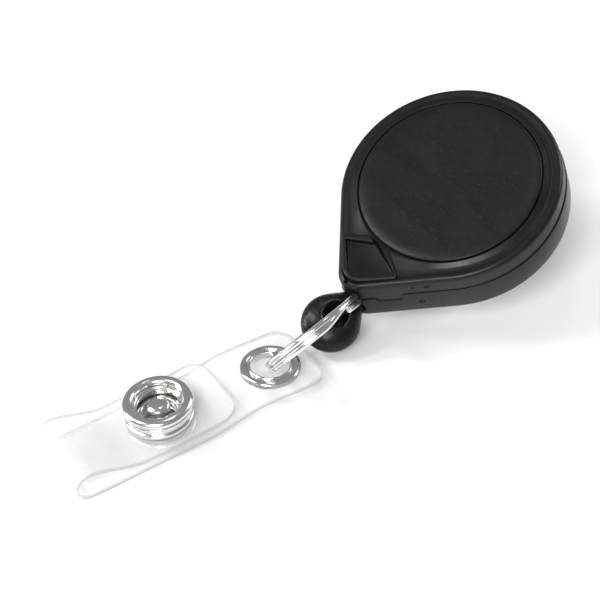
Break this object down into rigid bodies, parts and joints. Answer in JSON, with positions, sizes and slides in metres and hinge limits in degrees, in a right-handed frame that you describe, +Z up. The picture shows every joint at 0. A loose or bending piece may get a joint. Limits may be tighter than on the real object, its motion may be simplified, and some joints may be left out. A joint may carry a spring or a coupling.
{
  "type": "retractable badge reel",
  "caption": "Round black retractable badge reel with a spring spool, cord, egg-shaped end fitting, split ring, clear snap strap and swivel clip.",
  "frame": {"origin": "bottom centre of the whole part's box, on the surface it lies on", "axes": "+Z up; the strap lies from the reel towards -Y, so Y runs along the part's length; +X to the right when looking along +Y"},
  "size_m": [0.0339, 0.0889, 0.0261],
  "materials": {
    "case_plastic": "gloss moulded",
    "label_plastic": "fine satin",
    "inner_plastic": "natural moulded",
    "cord_fabric": "braided",
    "ferrule_brass": "drawn",
    "clip_steel": "plated",
    "bright_nickel": "bright plated",
    "clear_vinyl": "clear, lightly frosted"
  },
  "bodies": {
    "case": {"rear_case": "case_plastic", "front_cover": "case_plastic", "label_disc": "label_plastic", "spindle": "inner_plastic", "exit_guide": "case_plastic", "clip_rivet": "clip_steel"},
    "spool": {"spool": "inner_plastic", "spring_cover": "inner_plastic", "cord_winding": "cord_fabric", "power_spring": "clip_steel"},
    "cord_end": {"cord_end": "case_plastic", "cord_stop": "ferrule_brass", "cord_lead": "cord_fabric"},
    "ring": {"split_ring": "bright_nickel"},
    "strap": {"strap": "clear_vinyl", "grommet_eyelet": "bright_nickel", "grommet_washer": "bright_nickel", "snap_base": "bright_nickel", "snap_stud": "bright_nickel"},
    "flap": {"strap_flap": "clear_vinyl", "snap_eyelet": "bright_nickel", "snap_socket": "bright_nickel", "snap_cap": "bright_nickel", "socket_spring": "clip_steel"},
    "clip": {"clip_upper_jaw": "clip_steel", "clip_washer": "inner_plastic", "clip_axle": "clip_steel", "clip_spring": "clip_steel"},
    "clip_jaw": {"clip_lower_jaw": "clip_steel"}
  },
  "joints": [
    {"name": "cord_pull", "type": "slide", "parent": "case", "child": "cord_end", "axis": [0, -0.9268, -0.3756], "range_m": [0, 0.9], "stiffness_N_per_m": 0.6, "springref_m": -1, "deforming": ["cord_lead"]},
    {"name": "spool_spin", "type": "hinge", "parent": "case", "child": "spool", "pos_m": [-0.00004, 0.02691, 0.01496], "axis": [-0.1162, 0.373, -0.9205], "range_deg": [0, 7000], "deforming": ["power_spring"]},
    {"name": "ring_run", "type": "hinge", "parent": "cord_end", "child": "ring", "pos_m": [0.00322, -0.00332, 0.00793], "axis": [-0.7722, -0.1504, 0.6173], "range_deg": [-5, 30]},
    {"name": "strap_swing", "type": "hinge", "parent": "ring", "child": "strap", "pos_m": [0.00094, -0.0095, 0.00358], "axis": [0.566, -0.6041, 0.5609], "range_deg": [-15, 30]},
    {"name": "flap_open", "type": "hinge", "parent": "strap", "child": "flap", "pos_m": [-0.00356, -0.04149, 0.00407], "axis": [0.9903, -0.1392, 0], "range_deg": [0, 100]},
    {"name": "clip_spin", "type": "hinge", "parent": "case", "child": "clip", "pos_m": [-0.00056, 0.02859, 0.01082], "axis": [0.1162, -0.373, 0.9205], "continuous": true},
    {"name": "jaw_open", "type": "hinge", "parent": "clip", "child": "clip_jaw", "pos_m": [-0.00141, 0.0313, 0.0067], "axis": [0.9547, 0.2974, 0], "range_deg": [0, 20], "stiffness_Nm_per_rad": 0.05, "springref_deg": -20.05, "deforming": ["clip_spring"]}
  ],
  "couplings": [
    {"joint": "spool_spin", "follows": "cord_pull", "rad_per_m": 97}
  ]
}
